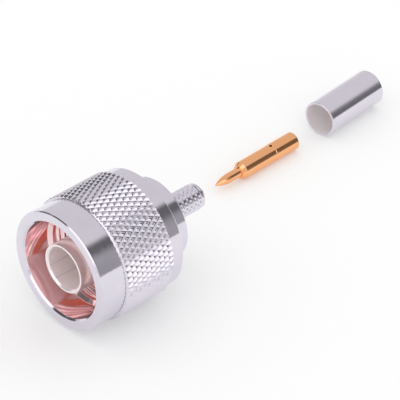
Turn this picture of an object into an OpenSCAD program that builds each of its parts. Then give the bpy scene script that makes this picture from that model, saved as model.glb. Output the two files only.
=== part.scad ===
// Crimp-on type N plug for a thin coaxial cable, as it comes before it is fitted.
// The plug lies on the knurl of its coupling nut. Its centre pin and its crimp ferrule
// lie behind it on the same surface, in the order in which they go onto the cable.
// The origin is the centre of the outer contact's front face, the plane from which
// the interface's lengths are measured. +X runs along the plug to the cable, +Z is up.

/* [Coupling nut] */
// Length of the nut
nut_len = 16.4; // [16:0.1:20]
// How far the nut's front face stands before the outer contact's front face
face_setback = 0.85; // [0.4:0.05:1.5]
// Diameter of the smooth band in front of the knurl
front_band_d = 19.7; // [19.5:0.1:19.9]
// Length of the smooth band in front of the knurl
front_band_len = 4.65; // [3.5:0.05:6]
// Diameter of the smooth shoulder behind the knurl
rear_band_d = 19.8; // [19.5:0.1:20]
// Chamfer on the nut's outer edges
nut_edge = 0.2; // [0.1:0.05:0.4]
// Diameter of the plain bore at the mouth
mouth_d = 16; // [15.9:0.1:16.6]
// Depth of the plain bore at the mouth
mouth_len = 4.7; // [3.5:0.1:6]
// Chamfer at the mouth's edge
mouth_edge = 0.25; // [0.1:0.05:0.5]
// Bore over the crests of the 5/8-24 thread
thread_bore_d = 14.8; // [14.7:0.05:15]
// Diameter of the relief behind the thread
relief_d = 15.9; // [15.3:0.1:16.4]
// Length of the relief behind the thread
relief_len = 2; // [1:0.1:3]

/* [Knurl] */
// Diameter over the tips of the diamonds
knurl_d = 20.6; // [20.4:0.1:22]
// Length of the knurled band with its end chamfers
knurl_len = 9.4; // [7:0.1:10]
// Depth of the grooves
knurl_depth = 0.36; // [0.2:0.02:0.44]
// Number of diamonds in one ring
knurl_count = 66; // [48:1:80]
// Angle of the grooves to the axis
knurl_angle = 27; // [20:1:45]
// Length of the chamfer at each end of the knurl
knurl_edge = 0.35; // [0.2:0.05:0.6]

/* [Body] */
// Distance of the gasket seat behind the outer contact's front face
seat_depth = 9.6; // [9.2:0.1:10]
// Diameter of the flange that the nut pulls on
flange_d = 14.2; // [13.9:0.05:14.3]
// Thickness of the flange
flange_len = 2.6; // [1.8:0.1:2.8]
// Diameter of the barrel that the nut turns on
barrel_d = 13.6; // [13:0.1:13.8]
// Length of the barrel that stands out behind the nut
barrel_proud = 4; // [2:0.1:8]
// Chamfer at the barrel's rear edge
barrel_edge = 0.3; // [0.1:0.05:0.6]
// Thickness of the barrel's rear wall
back_wall = 2; // [1:0.1:3]
// Length of the crimp stem
stem_len = 8.3; // [7:0.1:12]
// Diameter of the stem's gripping band
stem_d = 4.32; // [4:0.02:4.6]
// Diameter of the neck at the stem's root
neck_d = 3.84; // [3.7:0.02:4]
// Length of the neck at the stem's root
neck_len = 1.5; // [0.5:0.1:3]
// Length of the rounded lip at the stem's end
lip_len = 0.8; // [0.3:0.1:1.5]
// Diameter of the stem's end face
lip_d = 3.56; // [3.5:0.02:3.7]
// Bore through the stem, for the cable's dielectric
stem_bore_d = 3.2; // [3.14:0.02:3.3]

/* [Outer contact] */
// Outer diameter of the contact tube
tube_d = 8.12; // [8.03:0.01:8.2]
// Bore of the contact tube
tube_bore_d = 7; // [6.9:0.02:7.2]
// Bevel inside the tube's front edge
tube_bevel = 0.25; // [0.1:0.05:0.35]
// Rounding outside the tube's front edge
tube_edge = 0.1; // [0.05:0.01:0.15]
// Diameter of the collar that is pressed into the body
collar_d = 10.4; // [10:0.1:10.8]
// How far the collar stands before the gasket seat
collar_proud = 1.6; // [1:0.1:1.8]
// Depth of the collar's seat in the body
collar_seat = 3; // [2:0.1:4]

/* [Gasket and retaining ring] */
// Thickness of the gasket
gasket_len = 1.9; // [1.7:0.1:2.4]
// Outer diameter of the gasket
gasket_d = 14; // [13.6:0.1:14.1]
// Rounding of the gasket's edges
gasket_edge = 0.3; // [0.1:0.05:0.5]
// Width of the split retaining ring along the axis
ring_len = 1; // [0.7:0.05:1.2]
// Outer diameter of the retaining ring
ring_d = 14.5; // [14.3:0.1:14.7]
// Inner diameter of the retaining ring
ring_bore_d = 12.3; // [12:0.1:12.6]
// Gap at the ring's split
ring_gap = 2; // [1:0.2:4]
// Distance of the ring behind the flange
ring_back = 1; // [0.8:0.1:1.2]

/* [Insulator] */
// Diameter of the insulator's thick rear part
insulator_d = 9.2; // [8.4:0.1:9.6]
// Length of the spigot that stands in the contact tube
spigot_len = 3.6; // [2:0.1:4]
// Hole for the pin's middle part
insulator_hole_d = 3.08; // [3.06:0.01:3.1]
// Hole for the pin's crimped part
insulator_rear_d = 3.2; // [3.16:0.01:3.3]
// Depth of the lead-in cone at the insulator's rear, which guides the pin into its hole
insulator_lead = 0.7; // [0.6:0.05:1]

/* [Centre pin] */
// Length of the pin
pin_len = 18.4; // [17:0.1:21]
// Diameter of the pin's front rod
pin_rod_d = 1.64; // [1.6:0.01:1.68]
// Length of the pin's pointed end
pin_point_len = 3.3; // [2:0.1:4]
// Distance of the pin's shoulder behind its point
pin_shoulder_at = 5.5; // [4.8:0.1:6]
// Diameter of the shoulder's flat face
pin_shoulder_d = 2.1; // [1.8:0.05:2.6]
// Length of the cone behind the shoulder
pin_cone_len = 0.65; // [0.3:0.05:1]
// Diameter of the pin's middle part
pin_d = 3.04; // [2.9:0.01:3.04]
// Distance of the step to the crimped part behind the point
pin_step_at = 13.2; // [12:0.1:14]
// Diameter of the pin's crimped part
pin_rear_d = 3.12; // [3.08:0.01:3.14]
// Bore of the cup for the cable's inner wire
cup_d = 1.06; // [0.9:0.02:1.4]
// Diameter of the hole that shows the wire's end
sight_hole_d = 0.5; // [0.4:0.05:0.7]
// Chamfer at the pin's rear edge
pin_edge = 0.12; // [0.05:0.01:0.2]

/* [Crimp ferrule] */
// Length of the ferrule
ferrule_len = 13.2; // [10:0.1:16]
// Outer diameter of the ferrule
ferrule_d = 6.18; // [6:0.02:6.6]
// Wall of the ferrule
ferrule_wall = 0.34; // [0.25:0.01:0.5]
// Rounding of the ferrule's edges
ferrule_edge = 0.1; // [0.05:0.01:0.15]

/* [Fits] */
// Radial clearance of the nut on the barrel
turn_clear = 0.07; // [0.03:0.01:0.1]
// Axial clearance between the nut's inner shoulder and the flange
nut_play = 0.2; // [0.1:0.05:0.4]
// Clearance round the retaining ring in its grooves
ring_clear = 0.1; // [0.05:0.01:0.15]
// Radial clearance of pieces that are pushed together
push_clear = 0.02; // [0.01:0.01:0.04]

/* [Loose pieces] */
// Distance from the origin to the pin's point, along the plug
pin_x = 40.05; // [32:0.1:60]
// Sideways distance of the pin's point
pin_y = 8.69; // [-20:0.1:20]
// Turn of the pin on the surface it lies on
pin_turn = 1.4; // [-10:0.1:10]
// Distance from the origin to the ferrule's front end, along the plug
ferrule_x = 64.5; // [62:0.1:90]
// Sideways distance of the ferrule's front end
ferrule_y = 8.88; // [-20:0.1:20]
// Turn of the ferrule on the surface it lies on
ferrule_turn = 4.7; // [-10:0.1:10]

/* [Hidden] */
$fn = 96;
EPS = 0.01;

// Stations along the plug's axis
nut_front = -face_setback;
nut_rear = nut_front + nut_len;
knurl_front = nut_front + front_band_len;
knurl_rear = knurl_front + knurl_len;
flange_rear = seat_depth + flange_len;
nut_shoulder = flange_rear + nut_play;
ring_front = flange_rear + ring_back;
barrel_rear = nut_rear + barrel_proud;
collar_front = seat_depth - collar_proud;
collar_rear = seat_depth + collar_seat;
stem_rear = barrel_rear + stem_len;

// Radii that follow from the fits
turn_bore_r = barrel_d / 2 + turn_clear;
body_groove_r = ring_bore_d / 2 - ring_clear / 2;
nut_groove_r = ring_d / 2 + ring_clear;
floor_z = -knurl_d / 2;

// Knurl: rows of half a diamond's length, and two columns to each diamond
tip_r = knurl_d / 2;
root_r = tip_r - knurl_depth;
knurl_columns = 2 * knurl_count;
half_diamond = PI * knurl_d / knurl_columns / tan(knurl_angle);
knurl_rows = round((knurl_len - 2 * knurl_edge) / half_diamond);
knurl_step = (knurl_len - 2 * knurl_edge) / knurl_rows;
// The knurled sleeve is rooted this deep in the nut, and this far under its bands
knurl_root = 0.35;
knurl_lap = 0.1;

NICKEL = [0.79, 0.77, 0.80];
GOLD = [0.88, 0.64, 0.42];

// Turned piece about the X axis. The outline's points are [distance along the axis, radius].
module turned(outline) {
    rotate([0, 90, 0])
        rotate_extrude()
            polygon([for (p = outline) [p[1], p[0]]]);
}

// Round bore along the X axis
module bore(x0, x1, r) {
    translate([x0, 0, 0])
        rotate([0, 90, 0])
            cylinder(r = r, h = x1 - x0);
}

// A piece that lies on the surface, with its front end's centre at [x, y]
module laid(x, y, turn, r) {
    translate([x, y, floor_z + r])
        rotate([0, 0, turn])
            children();
}

// Point on one of the knurled sleeve's rings
function ring_point(x, r, column) =
    let (angle = -90 + 360 * column / knurl_columns)
    [x, r * cos(angle), r * sin(angle)];

// The diamonds' tips and the places where the grooves cross take turns along each row
function knurl_r(row, column) = (row + column) % 2 == 0 ? root_r : tip_r;

// Diamond knurl: a sleeve whose outside has a ring of points for each row
module knurled_sleeve() {
    x0 = knurl_front + knurl_edge;
    columns = [0 : knurl_columns - 1];
    core_r = root_r - 2 * knurl_root;
    front_r = front_band_d / 2 - knurl_lap;
    rear_r = rear_band_d / 2 - knurl_lap;
    rings = concat(
        [[for (j = columns) ring_point(knurl_front - knurl_lap, front_r, j)]],
        [for (i = [0 : knurl_rows])
            [for (j = columns) ring_point(x0 + i * knurl_step, knurl_r(i, j), j)]],
        [[for (j = columns) ring_point(knurl_rear + knurl_lap, rear_r, j)]],
        [[for (j = columns) ring_point(knurl_rear + knurl_lap, core_r, j)]],
        [[for (j = columns) ring_point(knurl_front - knurl_lap, core_r, j)]]
    );
    count = len(rings);
    points = [for (ring = rings) each ring];
    function at(i, j) = (i % count) * knurl_columns + j % knurl_columns;
    // A groove's floor runs along the diagonal of each four-sided cell
    faces = [for (i = [0 : count - 1], j = columns, half = [0, 1])
        (i + j) % 2 == 1
            ? (half == 0 ? [at(i + 1, j + 1), at(i, j + 1), at(i, j)]
                         : [at(i + 1, j), at(i + 1, j + 1), at(i, j)])
            : (half == 0 ? [at(i + 1, j), at(i, j + 1), at(i, j)]
                         : [at(i + 1, j), at(i + 1, j + 1), at(i, j + 1)])];
    polyhedron(points, faces);
}

module coupling_nut() {
    front_r = front_band_d / 2;
    rear_r = rear_band_d / 2;
    core_r = root_r - knurl_root;
    mouth_r = mouth_d / 2;
    thread_r = thread_bore_d / 2;
    mouth_end = nut_front + mouth_len;
    relief_end = nut_shoulder;
    color(NICKEL)
        difference() {
            union() {
                turned([
                    [nut_front, 0],
                    [nut_front, front_r - nut_edge],
                    [nut_front + nut_edge, front_r],
                    [knurl_front, front_r],
                    [knurl_front, core_r],
                    [knurl_rear, core_r],
                    [knurl_rear, rear_r],
                    [nut_rear - nut_edge, rear_r],
                    [nut_rear, rear_r - nut_edge],
                    [nut_rear, 0]
                ]);
                knurled_sleeve();
            }
            // Mouth, 45 degree step and thread bore
            turned([
                [nut_front - EPS, 0],
                [nut_front - EPS, mouth_r + mouth_edge + EPS],
                [nut_front + mouth_edge, mouth_r],
                [mouth_end, mouth_r],
                [mouth_end + mouth_r - thread_r, thread_r],
                [relief_end - relief_len, thread_r],
                [relief_end - relief_len, relief_d / 2],
                [relief_end, relief_d / 2],
                [relief_end, 0]
            ]);
            bore(relief_end - EPS, nut_rear + EPS, turn_bore_r);
            bore(ring_front - ring_clear, ring_front + ring_len + ring_clear, nut_groove_r);
        }
}

module connector_body() {
    barrel_r = barrel_d / 2;
    stem_r = stem_d / 2;
    color(NICKEL)
        difference() {
            turned([
                [seat_depth, 0],
                [seat_depth, flange_d / 2],
                [flange_rear, flange_d / 2],
                [flange_rear, barrel_r],
                [ring_front - ring_clear, barrel_r],
                [ring_front - ring_clear, body_groove_r],
                [ring_front + ring_len + ring_clear, body_groove_r],
                [ring_front + ring_len + ring_clear, barrel_r],
                [barrel_rear - barrel_edge, barrel_r],
                [barrel_rear, barrel_r - barrel_edge],
                [barrel_rear, neck_d / 2],
                [barrel_rear + neck_len, neck_d / 2],
                [barrel_rear + neck_len + stem_r - neck_d / 2, stem_r],
                [stem_rear - lip_len, stem_r],
                [stem_rear - lip_len * 0.3, (stem_r + lip_d / 2) / 2 + 0.06],
                [stem_rear, lip_d / 2],
                [stem_rear, 0]
            ]);
            bore(seat_depth - EPS, collar_rear, collar_d / 2 + push_clear);
            bore(collar_rear - EPS, barrel_rear - back_wall, insulator_d / 2 + push_clear);
            bore(barrel_rear - back_wall - EPS, stem_rear + EPS, stem_bore_d / 2);
        }
}

module outer_contact() {
    tube_r = tube_d / 2;
    bore_r = tube_bore_d / 2;
    color(NICKEL)
        turned([
            [0, bore_r + tube_bevel],
            [0, tube_r - tube_edge],
            [tube_edge, tube_r],
            [collar_front, tube_r],
            [collar_front, collar_d / 2],
            [collar_rear, collar_d / 2],
            [collar_rear, bore_r],
            [tube_bevel, bore_r]
        ]);
}

module insulator() {
    spigot_r = tube_bore_d / 2 - push_clear;
    hole_r = insulator_hole_d / 2;
    rear_r = insulator_rear_d / 2;
    spigot_front = collar_rear - spigot_len;
    chamber_rear = barrel_rear - back_wall;
    color("white")
        turned([
            [spigot_front, hole_r],
            [spigot_front, spigot_r],
            [collar_rear, spigot_r],
            [collar_rear, insulator_d / 2],
            [chamber_rear, insulator_d / 2],
            [chamber_rear, rear_r + insulator_lead],
            [chamber_rear - insulator_lead, rear_r],
            [pin_step_at + tube_bevel, rear_r],
            [pin_step_at + tube_bevel, hole_r]
        ]);
}

module gasket() {
    inner_r = collar_d / 2 + push_clear;
    outer_r = gasket_d / 2;
    front = seat_depth - gasket_len;
    color([0.85, 0.2, 0.13])
        turned([
            [front, inner_r + gasket_edge],
            [front, outer_r - gasket_edge],
            [front + gasket_edge, outer_r],
            [seat_depth - gasket_edge, outer_r],
            [seat_depth, outer_r - gasket_edge],
            [seat_depth, inner_r],
            [front + gasket_edge, inner_r]
        ]);
}

module retaining_ring() {
    outer_r = ring_d / 2;
    color([0.72, 0.55, 0.35])
        difference() {
            turned([
                [ring_front, ring_bore_d / 2],
                [ring_front, outer_r],
                [ring_front + ring_len, outer_r],
                [ring_front + ring_len, ring_bore_d / 2]
            ]);
            translate([ring_front - EPS, -ring_gap / 2, 0])
                cube([ring_len + 2 * EPS, ring_gap, outer_r + EPS]);
        }
}

// Radius of the pin's point, an arc that runs smoothly into the rod, t of the way along it
function point_r(t) =
    let (r = pin_rod_d / 2, arc = (r * r + pin_point_len * pin_point_len) / (2 * r))
    sqrt(arc * arc - pow(pin_point_len * (1 - t), 2)) + r - arc;

module center_pin() {
    steps = 8;
    rod_r = pin_rod_d / 2;
    rear_r = pin_rear_d / 2;
    sight_x = pin_step_at - sight_hole_d / 4;
    step_len = pin_rear_d - pin_d;
    color(GOLD)
        laid(pin_x, pin_y, pin_turn, rear_r)
            difference() {
                turned(concat(
                    [[0, 0]],
                    [for (i = [1 : steps]) [pin_point_len * i / steps, point_r(i / steps)]],
                    [
                        [pin_shoulder_at, rod_r],
                        [pin_shoulder_at, pin_shoulder_d / 2],
                        [pin_shoulder_at + pin_cone_len, pin_d / 2],
                        [pin_step_at, pin_d / 2],
                        [pin_step_at + step_len, rear_r],
                        [pin_len - pin_edge, rear_r],
                        [pin_len, rear_r - pin_edge],
                        [pin_len, 0]
                    ]
                ));
                bore(sight_x - sight_hole_d, pin_len + EPS, cup_d / 2);
                translate([sight_x, 0, 0])
                    cylinder(d = sight_hole_d, h = rear_r + EPS);
            }
}

module crimp_ferrule() {
    outer_r = ferrule_d / 2;
    bore_r = outer_r - ferrule_wall;
    color(NICKEL)
        laid(ferrule_x, ferrule_y, ferrule_turn, outer_r)
            turned([
                [0, bore_r + ferrule_edge],
                [0, outer_r - ferrule_edge],
                [ferrule_edge, outer_r],
                [ferrule_len - ferrule_edge, outer_r],
                [ferrule_len, outer_r - ferrule_edge],
                [ferrule_len, bore_r + ferrule_edge],
                [ferrule_len - ferrule_edge, bore_r],
                [ferrule_edge, bore_r]
            ]);
}

coupling_nut();
connector_body();
outer_contact();
insulator();
gasket();
retaining_ring();
center_pin();
crimp_ferrule();
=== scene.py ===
"""Looks of a coaxial N type plug kit: the plug with its coupling nut, the centre pin and the crimp ferrule.

Every metal piece is a turned surface: an outline of (distance along the axis, radius) carried round the
axis. Sizes are in millimetres up to the point where a mesh is made, which is in metres.
"""
import bpy
import numpy as np
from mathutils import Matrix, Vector


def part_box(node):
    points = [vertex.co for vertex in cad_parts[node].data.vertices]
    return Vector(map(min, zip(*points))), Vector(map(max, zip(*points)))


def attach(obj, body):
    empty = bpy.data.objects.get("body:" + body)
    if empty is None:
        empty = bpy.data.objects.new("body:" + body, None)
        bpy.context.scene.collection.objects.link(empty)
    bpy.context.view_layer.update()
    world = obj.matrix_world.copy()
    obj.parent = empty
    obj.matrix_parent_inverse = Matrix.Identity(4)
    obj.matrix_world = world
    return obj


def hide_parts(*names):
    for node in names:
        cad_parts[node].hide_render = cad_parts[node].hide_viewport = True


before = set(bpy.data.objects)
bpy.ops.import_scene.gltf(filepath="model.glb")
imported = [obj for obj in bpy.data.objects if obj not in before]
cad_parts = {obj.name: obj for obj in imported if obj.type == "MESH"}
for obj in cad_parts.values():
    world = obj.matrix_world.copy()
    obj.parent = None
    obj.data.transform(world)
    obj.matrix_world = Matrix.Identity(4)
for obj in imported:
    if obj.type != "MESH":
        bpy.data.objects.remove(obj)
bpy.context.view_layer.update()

MM = 0.001

# ---------------------------------------------------------------- sizes, mm
def box_of(node):
    """The lowest and highest corner of a CAD node's box, in millimetres."""
    return [np.array(corner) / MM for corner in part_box(node)]


nut_lo, nut_hi = box_of("coupling_nut")
body_lo, body_hi = box_of("connector_body")
contact_lo, contact_hi = box_of("outer_contact")
gasket_lo, gasket_hi = box_of("gasket")
ring_lo, ring_hi = box_of("retaining_ring")
insulator_lo, insulator_hi = box_of("insulator")
ferrule_lo, ferrule_hi = box_of("crimp_ferrule")
pin_lo, pin_hi = box_of("center_pin")

NUT_FRONT = nut_lo[0]
NUT_REAR = nut_hi[0]
KNURL_TIP_R = nut_hi[2]
FLOOR_Z = nut_lo[2]
FRONT_BAND_R = 9.85
REAR_BAND_R = 9.9
KNURL_FRONT = NUT_FRONT + 4.65
KNURL_LEN = 9.4
KNURL_COUNT = 66
KNURL_TURNS = 5
KNURL_SLOPE = 0.3
# Half width of the grooves in diamonds, what each hand gains or loses of it, and where one hand is widest
KNURL_HALF_WIDTH = 0.31
KNURL_LEAN = 0.0625
KNURL_LEAN_AT = 112.0
MOUTH_R = 8.0
MOUTH_LEN = 4.7
THREAD_CREST_R = 7.4
THREAD_ROOT_R = 7.92
THREAD_PITCH = 1.058
RELIEF_R = 7.95
RELIEF_LEN = 2.0
NUT_SHOULDER = 12.4
TURN_BORE_R = 6.87
RING_GROOVE_R = 7.35

FLANGE_FRONT = body_lo[0]
FLANGE_REAR = FLANGE_FRONT + 2.6
FLANGE_R = 7.1
BARREL_REAR = 19.55
BARREL_R = 6.8
BODY_GROOVE_R = 6.1
NECK_R = 1.92
STEM_REAR = body_hi[0]
STEM_R = 2.1
STEM_KNURL_RISE = 0.06
STEM_BORE_R = 1.6
STEM_KNURL_COUNT = 16
STEM_KNURL_TURNS = 6
STEM_KNURL_SLOPE = 0.45
CHAMBER_R = 4.62
COLLAR_BORE_R = 5.22
RING_CLEAR = 0.1
GROOVE_FRONT = ring_lo[0] - RING_CLEAR
GROOVE_REAR = ring_hi[0] + RING_CLEAR
# Rows and columns of a knurl's grid to each diamond
PER_DIAMOND = 8

CONTACT_R = 4.06
CONTACT_BORE_R = 3.5
COLLAR_FRONT = 8.0
COLLAR_R = 5.2
# Where the two scores run along the contact's inside, in degrees, and how much deeper they are
SCORES = (-20, -55)
SCORE_DEPTH = 0.25

PIN_TURN = 1.4
PIN_REAR_R = 0.5 * (pin_hi[2] - pin_lo[2])
pin_middle = 0.5 * (pin_lo + pin_hi)
FERRULE_TURN = 4.7
FERRULE_R = 0.5 * (ferrule_hi[2] - ferrule_lo[2])
FERRULE_WALL = 0.34
ferrule_middle = 0.5 * (ferrule_lo + ferrule_hi)


# ---------------------------------------------------------------- surfaces
def rounded(corners, closed=True, steps=4, lead=0.03):
    """Outline with rounded corners. corners holds (x, radius, edge radius) in order.

    Each corner becomes the arc that touches both its sides: with A and B the touching points and P the
    corner, the arc is ((1-u)^2 A + 2 w u (1-u) P + u^2 B) / ((1-u)^2 + 2 w u (1-u) + u^2), where w is the
    sine of half the corner's angle. A point a short lead away from each end of the arc keeps the straight
    side flat in the shading. An open outline keeps its two ends sharp.
    """
    corners = np.asarray(corners, float)
    point, edge = corners[:, :2], corners[:, 2]
    back = np.roll(point, 1, axis=0) - point
    ahead = np.roll(point, -1, axis=0) - point
    back_len = np.linalg.norm(back, axis=1)
    ahead_len = np.linalg.norm(ahead, axis=1)
    back = back / back_len[:, None]
    ahead = ahead / ahead_len[:, None]
    half = 0.5 * np.arccos(np.clip((back * ahead).sum(1), -1.0, 1.0))
    room = 0.46 * np.minimum(back_len, ahead_len)
    reach = np.minimum(edge / np.tan(np.maximum(half, 1e-6)), room)
    if not closed:
        reach[[0, -1]] = 0.0
    u = np.linspace(0.0, 1.0, steps + 1)[None, :, None]
    start = (point + back * reach[:, None])[:, None, :]
    end = (point + ahead * reach[:, None])[:, None, :]
    weight = np.sin(half)[:, None, None]
    middle = 2.0 * weight * u * (1.0 - u)
    arc = ((1 - u) ** 2 * start + middle * point[:, None, :] + u ** 2 * end) / (
        (1 - u) ** 2 + middle + u ** 2)
    lead_back = np.minimum(reach + lead, 0.49 * back_len)[:, None]
    lead_ahead = np.minimum(reach + lead, 0.49 * ahead_len)[:, None]
    before = (point + back * lead_back)[:, None, :]
    after = (point + ahead * lead_ahead)[:, None, :]
    outline = np.concatenate([before, arc, after], axis=1).reshape(-1, 2)
    if not closed:
        outline = outline[1:-1]
    step = np.linalg.norm(np.diff(outline, axis=0), axis=1)
    return outline[np.concatenate([[True], step > 1e-5])]


def off_grooves(along, around):
    """Distance to the nearest groove of each hand; along and around count whole diamonds.

    It is how far along - around is from a whole number, and for the other hand how far along + around is.
    """
    return [np.abs(across - np.round(across)) for across in (along - around, along + around)]


def crossing_pits(along, around, half_width):
    """Depth, in half spacings, of a worn knurl: only the pits where a groove of each hand crosses are left.

    The larger of a point's distances from the two hands' grooves is how far it is from a crossing, and the
    pit is as deep as that is under the half width.
    """
    one_hand, other_hand = off_grooves(along, around)
    return 2.0 * np.maximum(half_width - np.maximum(one_hand, other_hand), 0.0)


def diamond_knurl(along, around, one_width, other_width):
    """Depth, in half spacings, of a knurl with grooves of both hands.

    Each groove is a V of its half width, all with the same slope, so that a wider groove is deeper. The
    deeper of the two is what is left after both are rolled in.
    """
    one_hand, other_hand = off_grooves(along, around)
    return 2.0 * np.maximum(np.maximum(one_width - one_hand, other_width - other_hand), 0.0)


def carried_round(x, radius, columns):
    """Points of a turned surface: (x, r cos a, r sin a) with the angle a going once round in even steps.

    x is one value per row; radius is one value per row, or per row and column.
    """
    angle = 2.0 * np.pi * np.arange(columns)[None, :] / columns
    radius = radius if radius.ndim == 2 else radius[:, None]
    x = np.broadcast_to(x[:, None], (len(x), columns))
    return np.stack([x, radius * np.cos(angle), radius * np.sin(angle)], axis=-1)


def laid_down(points, turn, node):
    """Points of a loose piece turned about the vertical and moved to the place of its CAD node.

    The lowest x and z and the middle y of the points become those of the node's box.
    """
    a = np.radians(turn)
    x = points[..., 0] * np.cos(a) - points[..., 1] * np.sin(a)
    y = points[..., 0] * np.sin(a) + points[..., 1] * np.cos(a)
    lo, hi = box_of(node)
    flat = np.stack([x, y, points[..., 2]], axis=-1).reshape(-1, 3)
    place = np.array([lo[0] - flat[:, 0].min(),
                      0.5 * (lo[1] + hi[1]) - 0.5 * (flat[:, 1].min() + flat[:, 1].max()),
                      lo[2] - flat[:, 2].min()])
    return np.stack([x, y, points[..., 2]], axis=-1) + place


def piece_of_grid(name, points, body, node, material, poles=None, groove_period=0, cut=None,
                  inside=None):
    """Closed mesh of a grid of points, rows along the outline and columns round the axis.

    Without poles the last row joins the first. With poles, a pair of points, each end row closes in a fan
    to its pole. With groove_period, the four-sided faces are started so that their diagonal runs along the
    nearer of the knurl's grooves, which cross every that many rows and columns. cut tells which points are
    on pressed facets, shaded flat. inside is a second material and the rows that have it. The faces are
    turned outward by the sign of the volume they enclose.
    """
    rows, columns = points.shape[:2]
    verts = points.reshape(-1, 3)
    last = rows if poles is None else rows - 1
    i, j = np.meshgrid(np.arange(last), np.arange(columns), indexing="ij")
    i2, j2 = (i + 1) % rows, (j + 1) % columns
    quads = np.stack([i * columns + j, i * columns + j2, i2 * columns + j2, i2 * columns + j], -1)
    if groove_period:
        one_hand = (i - j) / groove_period
        other_hand = (i + j + 1) / groove_period
        nearer = np.abs(other_hand - np.round(other_hand)) < np.abs(one_hand - np.round(one_hand))
        quads = np.where(nearer[..., None], np.roll(quads, 1, axis=-1), quads)
    quads = quads.reshape(-1, 4)
    fans = np.zeros((0, 3), int)
    if poles is not None:
        verts = np.concatenate([verts, np.asarray(poles, float)])
        ring = np.arange(columns)
        first_pole, last_pole = rows * columns, rows * columns + 1
        end = (rows - 1) * columns
        head = np.stack([np.full(columns, first_pole), (ring + 1) % columns, ring], -1)
        tail = np.stack([np.full(columns, last_pole), end + ring, end + (ring + 1) % columns], -1)
        fans = np.concatenate([head, tail])
    triangles = np.concatenate([quads[:, [0, 1, 2]], quads[:, [0, 2, 3]], fans])
    a, b, c = (verts[triangles[:, k]] for k in range(3))
    if np.einsum("ij,ij->i", a, np.cross(b, c)).sum() < 0:
        quads, fans = quads[:, [0, 3, 2, 1]], fans[:, ::-1]

    mesh = bpy.data.meshes.new(name)
    loops = np.concatenate([quads.ravel(), fans.ravel()]).astype(np.int32)
    sizes = np.concatenate([np.full(len(quads), 4), np.full(len(fans), 3)]).astype(np.int32)
    mesh.vertices.add(len(verts))
    mesh.vertices.foreach_set("co", (verts * MM).astype(np.float32).ravel())
    mesh.loops.add(len(loops))
    mesh.loops.foreach_set("vertex_index", loops)
    mesh.polygons.add(len(sizes))
    mesh.polygons.foreach_set("loop_start", np.concatenate([[0], np.cumsum(sizes)[:-1]]).astype(np.int32))
    mesh.polygons.foreach_set("loop_total", sizes)
    smooth = np.ones(len(sizes), bool)
    if cut is not None:
        corner_cut = [cut[i, j], cut[i, j2], cut[i2, j2], cut[i2, j]]
        smooth[:len(quads)] = ~np.all(corner_cut, axis=0).ravel()
    mesh.polygons.foreach_set("use_smooth", smooth)
    mesh.materials.append(material)
    if inside is not None:
        second, rows_inside = inside
        mesh.materials.append(second)
        index = np.zeros(len(sizes), np.int32)
        index[:len(quads)] = np.repeat((rows_inside & np.roll(rows_inside, -1))[:last], columns)
        mesh.polygons.foreach_set("material_index", index)
    mesh.update(calc_edges=True)
    piece = bpy.data.objects.new(name, mesh)
    bpy.context.scene.collection.objects.link(piece)
    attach(piece, body)
    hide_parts(node)
    return piece


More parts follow.
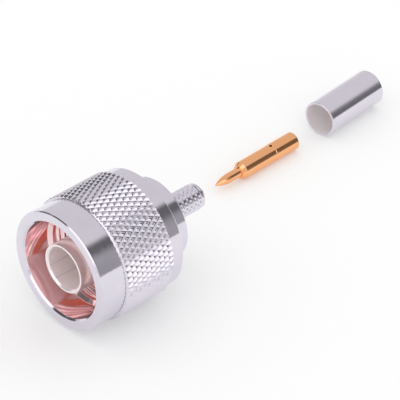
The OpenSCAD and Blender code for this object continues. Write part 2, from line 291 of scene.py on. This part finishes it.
# ---------------------------------------------------------------- materials
class Finish:
    """A material with its nodes added one after another. Methods that make a pattern return its output."""

    def __init__(self, name):
        self.material = bpy.data.materials.new(name)
        self.material.use_nodes = True
        self.tree = self.material.node_tree
        self.shader = self.tree.nodes["Principled BSDF"]

    def node(self, kind, **settings):
        """A new node of that kind with those settings."""
        node = self.tree.nodes.new(kind)
        for key, value in settings.items():
            setattr(node, key, value)
        return node

    def link(self, source, socket):
        """A link from an output to a socket."""
        self.tree.links.new(source, socket)

    def set(self, **values):
        """Constants on the shader's own sockets, named with _ for each space."""
        for key, value in values.items():
            self.shader.inputs[key.replace("_", " ")].default_value = value

    def place(self, at=(0, 0, 0), turn=0.0):
        """Object coordinates in millimetres, with the turned piece's axis along X through the origin."""
        coords = self.node("ShaderNodeTexCoord")
        mapping = self.node("ShaderNodeMapping", vector_type="TEXTURE")
        mapping.inputs["Location"].default_value = np.array(at) * MM
        mapping.inputs["Rotation"].default_value = (0.0, 0.0, np.radians(turn))
        mapping.inputs["Scale"].default_value = (MM, MM, MM)
        self.link(coords.outputs["Object"], mapping.inputs["Vector"])
        return mapping.outputs["Vector"]

    def lathe_feed(self, place):
        """How far the cutting tool has moved: distance along the axis plus distance from it, as a vector
        whose other parts change slowly round the piece."""
        parts = self.node("ShaderNodeSeparateXYZ")
        self.link(place, parts.inputs[0])
        across = self.node("ShaderNodeCombineXYZ")
        self.link(parts.outputs["Y"], across.inputs["Y"])
        self.link(parts.outputs["Z"], across.inputs["Z"])
        radius = self.node("ShaderNodeVectorMath", operation="LENGTH")
        self.link(across.outputs[0], radius.inputs[0])
        feed = self.node("ShaderNodeMath", operation="ADD")
        self.link(parts.outputs["X"], feed.inputs[0])
        self.link(radius.outputs["Value"], feed.inputs[1])
        slow = self.node("ShaderNodeVectorMath", operation="SCALE")
        self.link(across.outputs[0], slow.inputs[0])
        slow.inputs["Scale"].default_value = 0.06
        shift = self.node("ShaderNodeCombineXYZ")
        self.link(feed.outputs[0], shift.inputs["X"])
        joined = self.node("ShaderNodeVectorMath", operation="ADD")
        self.link(slow.outputs["Vector"], joined.inputs[0])
        self.link(shift.outputs[0], joined.inputs[1])
        return joined.outputs["Vector"]

    def noise(self, vector, scale, detail=2.0, roughness=0.5):
        """Even noise around 0.5, with that many cells to a millimetre."""
        noise = self.node("ShaderNodeTexNoise")
        noise.inputs["Scale"].default_value = scale
        noise.inputs["Detail"].default_value = detail
        noise.inputs["Roughness"].default_value = roughness
        self.link(vector, noise.inputs["Vector"])
        return noise.outputs["Fac"]

    def between(self, value, low, high, socket):
        """A value around 0.5 spread to the span from low to high, into a socket of the shader."""
        span = self.node("ShaderNodeMapRange")
        span.inputs["From Min"].default_value = 0.3
        span.inputs["From Max"].default_value = 0.7
        span.inputs["To Min"].default_value = low
        span.inputs["To Max"].default_value = high
        self.link(value, span.inputs["Value"])
        self.link(span.outputs["Result"], self.shader.inputs[socket])

    def tints(self, value, first, second):
        """The base colour, from one tint to another by a value around 0.5."""
        ramp = self.node("ShaderNodeValToRGB")
        ramp.color_ramp.elements[0].position = 0.3
        ramp.color_ramp.elements[1].position = 0.7
        ramp.color_ramp.elements[0].color = (*first, 1.0)
        ramp.color_ramp.elements[1].color = (*second, 1.0)
        self.link(value, ramp.inputs["Fac"])
        self.link(ramp.outputs["Color"], self.shader.inputs["Base Color"])

    def bump(self, value, height, under=None):
        """Bumps of that height in millimetres, over the bumps that are there already."""
        bump = self.node("ShaderNodeBump")
        bump.inputs["Strength"].default_value = 1.0
        bump.inputs["Distance"].default_value = height * MM
        self.link(value, bump.inputs["Height"])
        if under is not None:
            self.link(under, bump.inputs["Normal"])
        return bump.outputs["Normal"]


def plated(name, first, second, rough, at=(0, 0, 0), turn=0.0, marks=0.0006, waves=0.004, metal=1.0):
    """Plated brass, turned and then tumbled: faint rings of the lathe, soft waves left by the polish, and a
    plating whose tint and gloss drift a little. A matt plating, with metal under 1, also scatters light.
    marks and waves are the heights of the rings and the waves in millimetres.
    """
    finish = Finish(name)
    place = finish.place(at, turn)
    feed = finish.lathe_feed(place)
    finish.set(Metallic=metal, IOR=1.8)
    finish.tints(finish.noise(place, 0.35, 3.0), first, second)
    finish.between(finish.noise(feed, 3.0, 3.0), rough[0], rough[1], "Roughness")
    wave = finish.bump(finish.noise(place, 0.55, 1.0), waves)
    rings = finish.bump(finish.noise(feed, 9.0, 2.0, 0.6), marks, wave)
    finish.link(rings, finish.shader.inputs["Normal"])
    return finish.material


def moulded(name, first, second, rough, grain):
    """Moulded soft material: slightly mottled, with a fine even grain."""
    finish = Finish(name)
    place = finish.place()
    finish.tints(finish.noise(place, 0.8, 3.0), first, second)
    finish.between(finish.noise(place, 4.0), rough[0], rough[1], "Roughness")
    finish.link(finish.bump(finish.noise(place, 12.0, 3.0), grain), finish.shader.inputs["Normal"])
    return finish.material


NICKEL_WARM = (0.765, 0.722, 0.795)
NICKEL_COOL = (0.730, 0.702, 0.785)
nickel = plated("bright nickel", NICKEL_WARM, NICKEL_COOL, (0.07, 0.12), marks=0.0011, waves=0.008)
satin_nickel = plated("satin nickel", NICKEL_WARM, NICKEL_COOL, (0.13, 0.17), ferrule_middle, FERRULE_TURN,
                      marks=0.0008, waves=0.003)
# Painted reflection: the pink in the bore's nickel stands for the red gasket's light reflected round the
# inside of the nut; the plating itself is not pink.
bored_nickel_painted_pink = plated("bored nickel with painted red reflection", (0.99, 0.77, 0.78), (0.98, 0.75, 0.76), (0.08, 0.11), marks=0.0003,
                      waves=0.002, metal=0.88)
# Painted reflection: the pink in the contact's nickel, outside and inside, stands for the red gasket's light
# reflected on it; the plating itself is not pink.
contact_nickel_painted_pink = plated("contact nickel with painted red reflection", (0.96, 0.88, 0.89), (0.94, 0.86, 0.87), (0.16, 0.22), metal=0.5)
matt_nickel_painted_pink = plated("matt nickel with painted red reflection", (0.97, 0.87, 0.865), (0.95, 0.85, 0.845), (0.42, 0.52), metal=0.35)
drawn_nickel = plated("drawn nickel", (0.94, 0.90, 0.91), (0.91, 0.87, 0.88), (0.42, 0.52), ferrule_middle,
                      FERRULE_TURN, metal=0.25)
gold = plated("gold plate", (0.985, 0.500, 0.242), (0.965, 0.478, 0.228), (0.08, 0.12), pin_middle, PIN_TURN,
              marks=0.0005, waves=0.002)
silicone = moulded("red silicone", (0.98, 0.205, 0.085), (0.96, 0.190, 0.078), (0.38, 0.5), grain=0.004)
ptfe = moulded("white ptfe", (0.80, 0.80, 0.78), (0.74, 0.74, 0.72), (0.32, 0.42), grain=0.003)
bronze = plated("spring bronze", (0.52, 0.34, 0.17), (0.46, 0.30, 0.15), (0.2, 0.3))


# ---------------------------------------------------------------- coupling nut
def coupling_nut():
    """Nut: bands, diamond knurl, mouth, 45 degree step, thread, relief, shoulder, ring groove and rear bore.

    The knurl's rows and columns are an eighth of a diamond apart. The half width of its grooves of one
    hand gains what those of the other hand lose, by a cosine that comes back four times round the nut. The
    thread's radius is a triangle wave of x / pitch - angle / full turn with its tips cut flat, which fades
    in and out over one pitch.
    """
    columns = KNURL_COUNT * PER_DIAMOND
    bevel = 0.1
    lead_in = 0.3
    front_edge = 0.16
    rear_edge = 0.2
    knurl_rear = KNURL_FRONT + KNURL_LEN
    knurl_x = np.linspace(KNURL_FRONT + bevel + 0.01, knurl_rear - bevel - 0.01,
                          KNURL_TURNS * PER_DIAMOND + 1)
    mouth_end = NUT_FRONT + MOUTH_LEN
    thread_front = mouth_end + MOUTH_R - THREAD_CREST_R
    thread_rear = NUT_SHOULDER - RELIEF_LEN
    thread_x = np.arange(thread_rear - 0.06, thread_front + 0.06, -THREAD_PITCH / 9)
    front = rounded([
        [mouth_end, MOUTH_R, 0.0],
        [NUT_FRONT + lead_in, MOUTH_R, 0.06],
        [NUT_FRONT, MOUTH_R + lead_in, 0.06],
        [NUT_FRONT, FRONT_BAND_R - front_edge, 0.05],
        [NUT_FRONT + front_edge, FRONT_BAND_R, 0.05],
        [KNURL_FRONT, FRONT_BAND_R, 0.01],
        [KNURL_FRONT + bevel, FRONT_BAND_R + bevel, 0.0]], closed=False, steps=3)
    rear = rounded([
        [knurl_rear - bevel, REAR_BAND_R + bevel, 0.0],
        [knurl_rear, REAR_BAND_R, 0.01],
        [NUT_REAR - rear_edge, REAR_BAND_R, 0.08],
        [NUT_REAR, REAR_BAND_R - rear_edge, 0.08],
        [NUT_REAR, TURN_BORE_R, 0.05],
        [GROOVE_REAR, TURN_BORE_R, 0.02],
        [GROOVE_REAR, RING_GROOVE_R, 0.02],
        [GROOVE_FRONT, RING_GROOVE_R, 0.02],
        [GROOVE_FRONT, TURN_BORE_R, 0.02],
        [NUT_SHOULDER, TURN_BORE_R, 0.03],
        [NUT_SHOULDER, RELIEF_R, 0.05],
        [thread_rear, RELIEF_R, 0.03],
        [thread_rear, THREAD_CREST_R, 0.0]], closed=False, steps=2)
    step = rounded([
        [thread_front, THREAD_CREST_R, 0.0],
        [mouth_end + 0.05, MOUTH_R - 0.05, 0.0]], closed=False)
    sides = [front, np.stack([knurl_x, np.zeros_like(knurl_x)], 1), rear,
             np.stack([thread_x, np.full_like(thread_x, THREAD_CREST_R)], 1), step]
    outline = np.concatenate(sides)
    knurl_rows = slice(len(front), len(front) + len(knurl_x))
    thread_first = len(front) + len(knurl_x) + len(rear)
    thread_rows = slice(thread_first, thread_first + len(thread_x))

    radius = np.repeat(outline[:, 1:], columns, axis=1)
    around = np.arange(columns)[None, :] / PER_DIAMOND
    along = np.arange(len(knurl_x))[:, None] / PER_DIAMOND
    turn = 2.0 * np.pi * around / KNURL_COUNT
    lean = KNURL_LEAN * np.cos(4.0 * (turn - np.radians(KNURL_LEAN_AT)))
    cut_depth = KNURL_SLOPE * diamond_knurl(along, around, KNURL_HALF_WIDTH + lean, KNURL_HALF_WIDTH - lean)
    radius[knurl_rows] = KNURL_TIP_R - cut_depth

    turns = thread_x[:, None] / THREAD_PITCH - np.arange(columns)[None, :] / columns
    wave = np.abs(2.0 * (turns - np.floor(turns)) - 1.0)
    flank = np.clip((wave - 0.12) / 0.72, 0.0, 1.0)
    fade = np.clip(np.minimum(thread_x - thread_front, thread_rear - thread_x) / THREAD_PITCH, 0.0, 1.0)
    radius[thread_rows] += (THREAD_ROOT_R - THREAD_CREST_R) * flank * fade[:, None]
    grid = carried_round(outline[:, 0], radius, columns)
    cut = np.zeros(radius.shape, bool)
    cut[knurl_rows] = True
    # The bored rows get the nickel with the painted pink reflection of the red gasket.
    bored = (outline[:, 0] <= NUT_SHOULDER + 0.01) & (outline[:, 1] < MOUTH_R + 0.02) & ~cut[:, 0]
    # The grooves cross on the knurl's own first row, so the rows are counted from there
    grid, cut, bored = (np.roll(rows, -len(front), axis=0) for rows in (grid, cut, bored))
    return piece_of_grid("nut", grid, "nut", "coupling_nut", nickel, groove_period=PER_DIAMOND,
                         cut=cut, inside=(bored_nickel_painted_pink, bored))


# ---------------------------------------------------------------- plug body and what it holds
def connector_body():
    """Body: flange, barrel with its ring groove, neck, knurled crimp stem and through bore.

    The stem's knurl is worn down to the pits where two grooves cross, on a smooth cylinder.
    """
    columns = STEM_KNURL_COUNT * PER_DIAMOND
    barrel_edge = 0.3
    neck_len = 1.5
    lip_len = 0.8
    lip_r = 1.78
    back_wall = 2.0
    stem_front = BARREL_REAR + neck_len
    stem_end = STEM_REAR - lip_len
    seat_rear = contact_hi[0]
    knurl_x = np.linspace(stem_front + 0.24, stem_end, STEM_KNURL_TURNS * PER_DIAMOND + 1)
    outside = rounded([
        [FLANGE_FRONT, COLLAR_BORE_R, 0.0],
        [FLANGE_FRONT, FLANGE_R, 0.08],
        [FLANGE_REAR, FLANGE_R, 0.08],
        [FLANGE_REAR, BARREL_R, 0.05],
        [GROOVE_FRONT, BARREL_R, 0.02],
        [GROOVE_FRONT, BODY_GROOVE_R, 0.02],
        [GROOVE_REAR, BODY_GROOVE_R, 0.02],
        [GROOVE_REAR, BARREL_R, 0.02],
        [BARREL_REAR - barrel_edge, BARREL_R, 0.15],
        [BARREL_REAR, BARREL_R - barrel_edge, 0.15],
        [BARREL_REAR, NECK_R, 0.08],
        [stem_front, NECK_R, 0.08],
        [stem_front + 0.2, STEM_R, 0.0]], closed=False)
    lip = rounded([
        [stem_end + 0.03, STEM_R, 0.0],
        [STEM_REAR - 0.35, STEM_R, 0.3],
        [STEM_REAR, lip_r, 0.1],
        [STEM_REAR, STEM_BORE_R, 0.05],
        [BARREL_REAR - back_wall, STEM_BORE_R, 0.05],
        [BARREL_REAR - back_wall, CHAMBER_R, 0.05],
        [seat_rear, CHAMBER_R, 0.03],
        [seat_rear, COLLAR_BORE_R, 0.03],
        [FLANGE_FRONT + 0.05, COLLAR_BORE_R, 0.0]], closed=False)
    outline = np.concatenate([outside, np.stack([knurl_x, np.zeros_like(knurl_x)], 1), lip])
    knurl_rows = slice(len(outside), len(outside) + len(knurl_x))
    radius = np.repeat(outline[:, 1:], columns, axis=1)
    around = np.arange(columns)[None, :] / PER_DIAMOND
    along = np.arange(len(knurl_x))[:, None] / PER_DIAMOND
    fade = np.clip(np.minimum(knurl_x - knurl_x[0], knurl_x[-1] - knurl_x) / 0.25, 0.0, 1.0)[:, None]
    cut_depth = STEM_KNURL_SLOPE * crossing_pits(along, around, 0.2)
    radius[knurl_rows] = STEM_R + fade * (STEM_KNURL_RISE - cut_depth)
    cut = np.zeros(radius.shape, bool)
    cut[knurl_rows] = True
    grid = np.roll(carried_round(outline[:, 0], radius, columns), -len(outside), axis=0)
    return piece_of_grid("body", grid, "plug", "connector_body", nickel, groove_period=PER_DIAMOND,
                         cut=np.roll(cut, -len(outside), axis=0))


def outer_contact():
    """Outer contact: a thin tube with a collar, its front lip rounded and bevelled inside.

    Two fine scores run along the tube's inside: there one column of points is pushed outward.
    """
    front, rear = contact_lo[0], contact_hi[0]
    bevel = 0.25
    outline = rounded([
        [front, CONTACT_BORE_R + bevel, 0.08],
        [front, CONTACT_R - 0.02, 0.12],
        [front + 0.12, CONTACT_R, 0.08],
        [COLLAR_FRONT, CONTACT_R, 0.1],
        [COLLAR_FRONT, COLLAR_R, 0.1],
        [rear, COLLAR_R, 0.05],
        [rear, CONTACT_BORE_R, 0.05],
        [front + bevel, CONTACT_BORE_R, 0.08]])
    columns = 288
    tube = (outline[:, 0] > front + 0.2) & (outline[:, 1] < CONTACT_BORE_R + 0.02)
    radius = np.repeat(outline[:, 1:], columns, axis=1)
    for score in SCORES:
        radius[tube, round(score * columns / 360)] += SCORE_DEPTH
    grid = carried_round(outline[:, 0], radius, columns)
    # Both nickels of the contact carry a painted pink reflection of the red gasket.
    return piece_of_grid("contact", grid, "plug", "outer_contact", contact_nickel_painted_pink,
                         inside=(matt_nickel_painted_pink, tube))


def gasket():
    """Gasket: a flat ring with rounded edges that lies on the flange round the contact."""
    inner, outer = 5.22, 7.0
    outline = rounded([
        [gasket_lo[0], inner, 0.25],
        [gasket_lo[0], outer, 0.3],
        [gasket_hi[0], outer, 0.25],
        [gasket_hi[0], inner, 0.05]], steps=8)
    grid = carried_round(outline[:, 0], outline[:, 1], 256)
    return piece_of_grid("seal", grid, "plug", "gasket", silicone)


def insulator():
    """Insulator: a stepped bead with a spigot in the contact and a stepped hole for the pin."""
    spigot_r, bead_r = 3.48, 4.6
    hole_r, rear_hole_r, step_at = 1.54, 1.6, 13.45
    lead_in = 0.7
    front, rear, spigot_rear = insulator_lo[0], insulator_hi[0], contact_hi[0]
    outline = rounded([
        [front, hole_r, 0.08],
        [front, spigot_r, 0.1],
        [spigot_rear, spigot_r, 0.03],
        [spigot_rear, bead_r, 0.08],
        [rear, bead_r, 0.1],
        [rear, rear_hole_r + lead_in, 0.08],
        [rear - lead_in, rear_hole_r, 0.08],
        [step_at, rear_hole_r, 0.02],
        [step_at, hole_r, 0.02]])
    grid = carried_round(outline[:, 0], outline[:, 1], 192)
    return piece_of_grid("bead", grid, "plug", "insulator", ptfe)


def retaining_ring():
    """Retaining ring: a rectangular section carried along the open arc that the gap at the top leaves."""
    inner, outer = 6.15, 7.25
    section = rounded([
        [ring_lo[0], inner, 0.05],
        [ring_lo[0], outer, 0.05],
        [ring_hi[0], outer, 0.05],
        [ring_hi[0], inner, 0.05]], steps=2)
    gap = 2.0
    half_gap = np.arcsin(0.5 * gap / inner)
    angle = np.linspace(0.5 * np.pi + half_gap, 2.5 * np.pi - half_gap, 97)[:, None]
    x = np.broadcast_to(section[None, :, 0], (len(angle), len(section)))
    r = section[None, :, 1]
    grid = np.stack([x, r * np.cos(angle), r * np.sin(angle)], axis=-1)
    ends = [grid[0].mean(0), grid[-1].mean(0)]
    return piece_of_grid("ring", grid, "plug", "retaining_ring", bronze, poles=ends)


# ---------------------------------------------------------------- loose pieces
def center_pin():
    """Pin: ogive point, rod, shoulder cone, shank, step, rear shank and wire cup, with a sight hole on top.

    The point's radius is that of an arc which runs smoothly into the rod. Round the sight hole the grid of
    rows and columns is bent: a square of side m about the hole becomes a circle, and beyond the hole it
    turns back to a square. Inside the circle the surface drops to the cup.
    """
    length, rod_r, mid_r, rear_r = 18.4, 0.82, 1.52, PIN_REAR_R
    point_len, shoulder, cone_len, step_at, step_len = 3.3, 5.5, 0.65, 13.2, 0.08
    shoulder_r, cup_r, cup_top = 1.05, 0.53, 0.56
    hole_x, hole_r, patch = 13.075, 0.25, 0.55
    cup_end = hole_x - hole_r
    t = np.linspace(0.04, 1.0, 26)
    arc = (rod_r ** 2 + point_len ** 2) / (2 * rod_r)
    point = np.stack([point_len * t, np.sqrt(arc ** 2 - (point_len * (1 - t)) ** 2) + rod_r - arc], 1)
    shank = rounded([
        [point_len + 0.03, rod_r, 0.0],
        [shoulder, rod_r, 0.04],
        [shoulder, shoulder_r, 0.05],
        [shoulder + cone_len, mid_r, 0.08],
        [hole_x - patch, mid_r, 0.0]], closed=False)
    side = np.concatenate([[0.08, 0.15, hole_r - 0.02], np.linspace(hole_r, patch, 7)])
    hole_rows = np.concatenate([-side[::-1], [0.0], side])
    step_r = mid_r + (rear_r - mid_r) * np.clip((hole_rows + hole_x - step_at) / step_len, 0.0, 1.0)
    rear = rounded([
        [hole_x + patch + 0.03, rear_r, 0.0],
        [length, rear_r, 0.14],
        [length, cup_r, 0.04],
        [cup_end, cup_r, 0.02],
        [cup_end, 0.05, 0.0]], closed=False)
    outline = np.concatenate([point, shank[:-1], np.stack([hole_rows + hole_x, step_r], 1), rear])

    # Columns: even round the pin, apart from a fine span over the hole at the top
    fine = np.arcsin(patch / mid_r)
    angle = np.concatenate([0.5 * np.pi + fine * hole_rows / patch,
                            0.5 * np.pi + np.linspace(fine, 2 * np.pi - fine, 130)[1:-1]])
    x = np.repeat(outline[:, :1], len(angle), axis=1)
    r = np.repeat(outline[:, 1:], len(angle), axis=1)
    a = np.broadcast_to(angle, x.shape).copy()
    rows = slice(len(point) + len(shank) - 1, len(point) + len(shank) - 1 + len(hole_rows))
    cols = slice(0, len(hole_rows))
    p, q = np.meshgrid(hole_rows, hole_rows, indexing="ij")
    ring = np.maximum(np.abs(p), np.abs(q))
    reach = np.maximum(np.hypot(p, q), 1e-9)
    blend = np.clip((ring - hole_r) / (patch - hole_r), 0.0, 1.0)
    scale = (1 - blend) * ring / reach + blend
    x[rows, cols] = hole_x + p * scale
    top = mid_r + (rear_r - mid_r) * np.clip((x[rows, cols] - step_at) / step_len, 0.0, 1.0)
    r[rows, cols] = np.where(ring < hole_r - 0.01, cup_top, top)
    a[rows, cols] = 0.5 * np.pi + np.arcsin(np.clip(q * scale / r[rows, cols], -1, 1))
    grid = np.stack([x, r * np.cos(a), r * np.sin(a)], axis=-1)
    cut = np.zeros(x.shape, bool)
    cut[rows, cols] = ring < hole_r + 0.01
    poles = np.array([[0.0, 0.0, 0.0], [cup_end, 0.0, 0.0]])
    whole = np.concatenate([grid.reshape(-1, 3), poles])
    whole = laid_down(whole, PIN_TURN, "center_pin")
    grid = whole[:-2].reshape(grid.shape)
    return piece_of_grid("pin", grid, "plug", "center_pin", gold, poles=whole[-2:], cut=cut)


def crimp_ferrule():
    """Ferrule: a thin plain tube with broken edges."""
    outer, inner, length = FERRULE_R, FERRULE_R - FERRULE_WALL, 13.2
    outline = rounded([
        [0.0, inner + 0.05, 0.1],
        [0.0, outer, 0.1],
        [length, outer, 0.1],
        [length, inner, 0.1],
        [0.0, inner, 0.1]])
    grid = laid_down(carried_round(outline[:, 0], outline[:, 1], 256), FERRULE_TURN, "crimp_ferrule")
    bore = outline[:, 1] < inner + 0.02
    return piece_of_grid("ferrule", grid, "plug", "crimp_ferrule", satin_nickel,
                         inside=(drawn_nickel, bore))


for make in (coupling_nut, connector_body, outer_contact, gasket, insulator, retaining_ring, center_pin,
             crimp_ferrule):
    make()


# ---------------------------------------------------------------- surface, light and camera
TENT = (0.775, 0.765, 0.775)
# Parts of the tent that aren't plain: heading from and to, height from and to, softness, all in degrees,
# and level
TENT_PARTS = [
    ("front opening, near its post", -54, -36, -8, 47, 5, 0.15),
    ("front opening, further round", -66, -54, -8, 47, 5, 0.36),
    ("table's far end", -18, 38, -4, 31, 5, 0.1),
    ("front softbox", -114, -70, 12, 62, 6, 1.5),
    ("side softbox", -202, -140, 8, 66, 4, 1.5),
    ("gap beside the stand", -236, -205, 8, 43, 3, 0.1),
    ("gap beside the stand, its low end", -262, -236, 8, 27, 3, 0.1),
]


def surroundings():
    """White tent of light with an open front and two softboxes, which gloss shows by heading and height.

    Each part of the tent is a smooth step in at its first heading and out at its last, times the same for
    its height; all parts are mixed over the tent's own level.
    """
    world = bpy.data.worlds.new("tent")
    bpy.context.scene.world = world
    world.use_nodes = True
    nodes, links = world.node_tree.nodes, world.node_tree.links
    nodes.clear()

    def math(operation, *values):
        """Output of a math node whose inputs are those numbers and outputs."""
        node = nodes.new("ShaderNodeMath")
        node.operation = operation
        for socket, value in zip(node.inputs, values):
            if isinstance(value, (int, float)):
                socket.default_value = value
            else:
                links.new(value, socket)
        return node.outputs[0]

    def step(value, start, end):
        """Smooth step of a value from 0 at the start to 1 at the end."""
        node = nodes.new("ShaderNodeMapRange")
        node.interpolation_type = "SMOOTHSTEP"
        node.inputs["From Min"].default_value = start
        node.inputs["From Max"].default_value = end
        links.new(value, node.inputs["Value"])
        return node.outputs["Result"]

    def mix(factor, first, second):
        """First colour where the factor is 0, second where it is 1."""
        node = nodes.new("ShaderNodeMix")
        node.data_type = "RGBA"
        links.new(factor, node.inputs["Factor"])
        for socket, value in ((node.inputs["A"], first), (node.inputs["B"], second)):
            if isinstance(value, tuple):
                socket.default_value = (*value, 1.0)
            else:
                links.new(value, socket)
        return node.outputs["Result"]

    coords = nodes.new("ShaderNodeTexCoord")
    parts = nodes.new("ShaderNodeSeparateXYZ")
    links.new(coords.outputs["Generated"], parts.inputs[0])
    heading = math("ARCTAN2", parts.outputs["Y"], parts.outputs["X"])
    heading = math("WRAP", math("DEGREES", heading), 95.0, -265.0)
    height = math("DEGREES", math("ARCSINE", parts.outputs["Z"]))
    shown = TENT
    for _, first, last, low, high, soft, level in TENT_PARTS:
        across = math("MULTIPLY", step(heading, first - soft, first + soft),
                      step(heading, last + soft, last - soft))
        up = math("MULTIPLY", step(height, low - soft, low + soft),
                  step(height, high + soft, high - soft))
        colour = (level, level * 0.985, level * 1.02)
        shown = mix(math("MULTIPLY", across, up), shown, colour)
    path = nodes.new("ShaderNodeLightPath")
    light = nodes.new("ShaderNodeBackground")
    links.new(mix(path.outputs["Is Glossy Ray"], (1.0, 1.0, 1.0), shown), light.inputs["Color"])
    out = nodes.new("ShaderNodeOutputWorld")
    links.new(light.outputs[0], out.inputs["Surface"])


def floor():
    """To the camera and to gloss it glows up to white."""
    half = 3.0
    mesh = bpy.data.meshes.new("surface")
    z = FLOOR_Z * MM
    mesh.from_pydata([(-half, -half, z), (half, -half, z), (half, half, z), (-half, half, z)], [],
                     [(0, 1, 2, 3)])
    finish = Finish("white card")
    finish.set(Roughness=0.9, Specular_IOR_Level=0.0)
    place = finish.place()
    finish.tints(finish.noise(place, 0.02, 2.0), TENT, TENT)
    glow = finish.node("ShaderNodeEmission")
    glow.inputs["Color"].default_value = (*(1.0 - np.array(TENT)), 1.0)
    seen = finish.node("ShaderNodeLightPath")
    strength = seen.outputs["Is Camera Ray"]
    for ray in ("Is Glossy Ray", "Is Transmission Ray"):
        either = finish.node("ShaderNodeMath", operation="MAXIMUM")
        finish.link(strength, either.inputs[0])
        finish.link(seen.outputs[ray], either.inputs[1])
        strength = either.outputs[0]
    finish.link(strength, glow.inputs["Strength"])
    both = finish.node("ShaderNodeAddShader")
    finish.link(finish.shader.outputs[0], both.inputs[0])
    finish.link(glow.outputs[0], both.inputs[1])
    finish.link(both.outputs[0], finish.tree.nodes["Material Output"].inputs["Surface"])
    mesh.materials.append(finish.material)
    surface = bpy.data.objects.new("surface", mesh)
    bpy.context.scene.collection.objects.link(surface)
    return surface


def camera():
    """Long lens, from above the nut's front, level with the horizon."""
    data = bpy.data.cameras.new("camera")
    data.lens = 243.0
    data.sensor_width = 36.0
    data.clip_start = 0.01
    data.clip_end = 20.0
    view = bpy.data.objects.new("camera", data)
    view.location = (-0.20901, -0.24706, 0.24247)
    view.rotation_euler = Vector((0.56457, 0.58752, -0.57973)).to_track_quat("-Z", "Y").to_euler()
    bpy.context.scene.collection.objects.link(view)
    bpy.context.scene.camera = view


floor()
surroundings()
camera()
bpy.context.scene.view_settings.view_transform = "Standard"


def corners(box):
    """A box's two corners as lists of plain numbers."""
    return [[float(value) for value in corner] for corner in box]
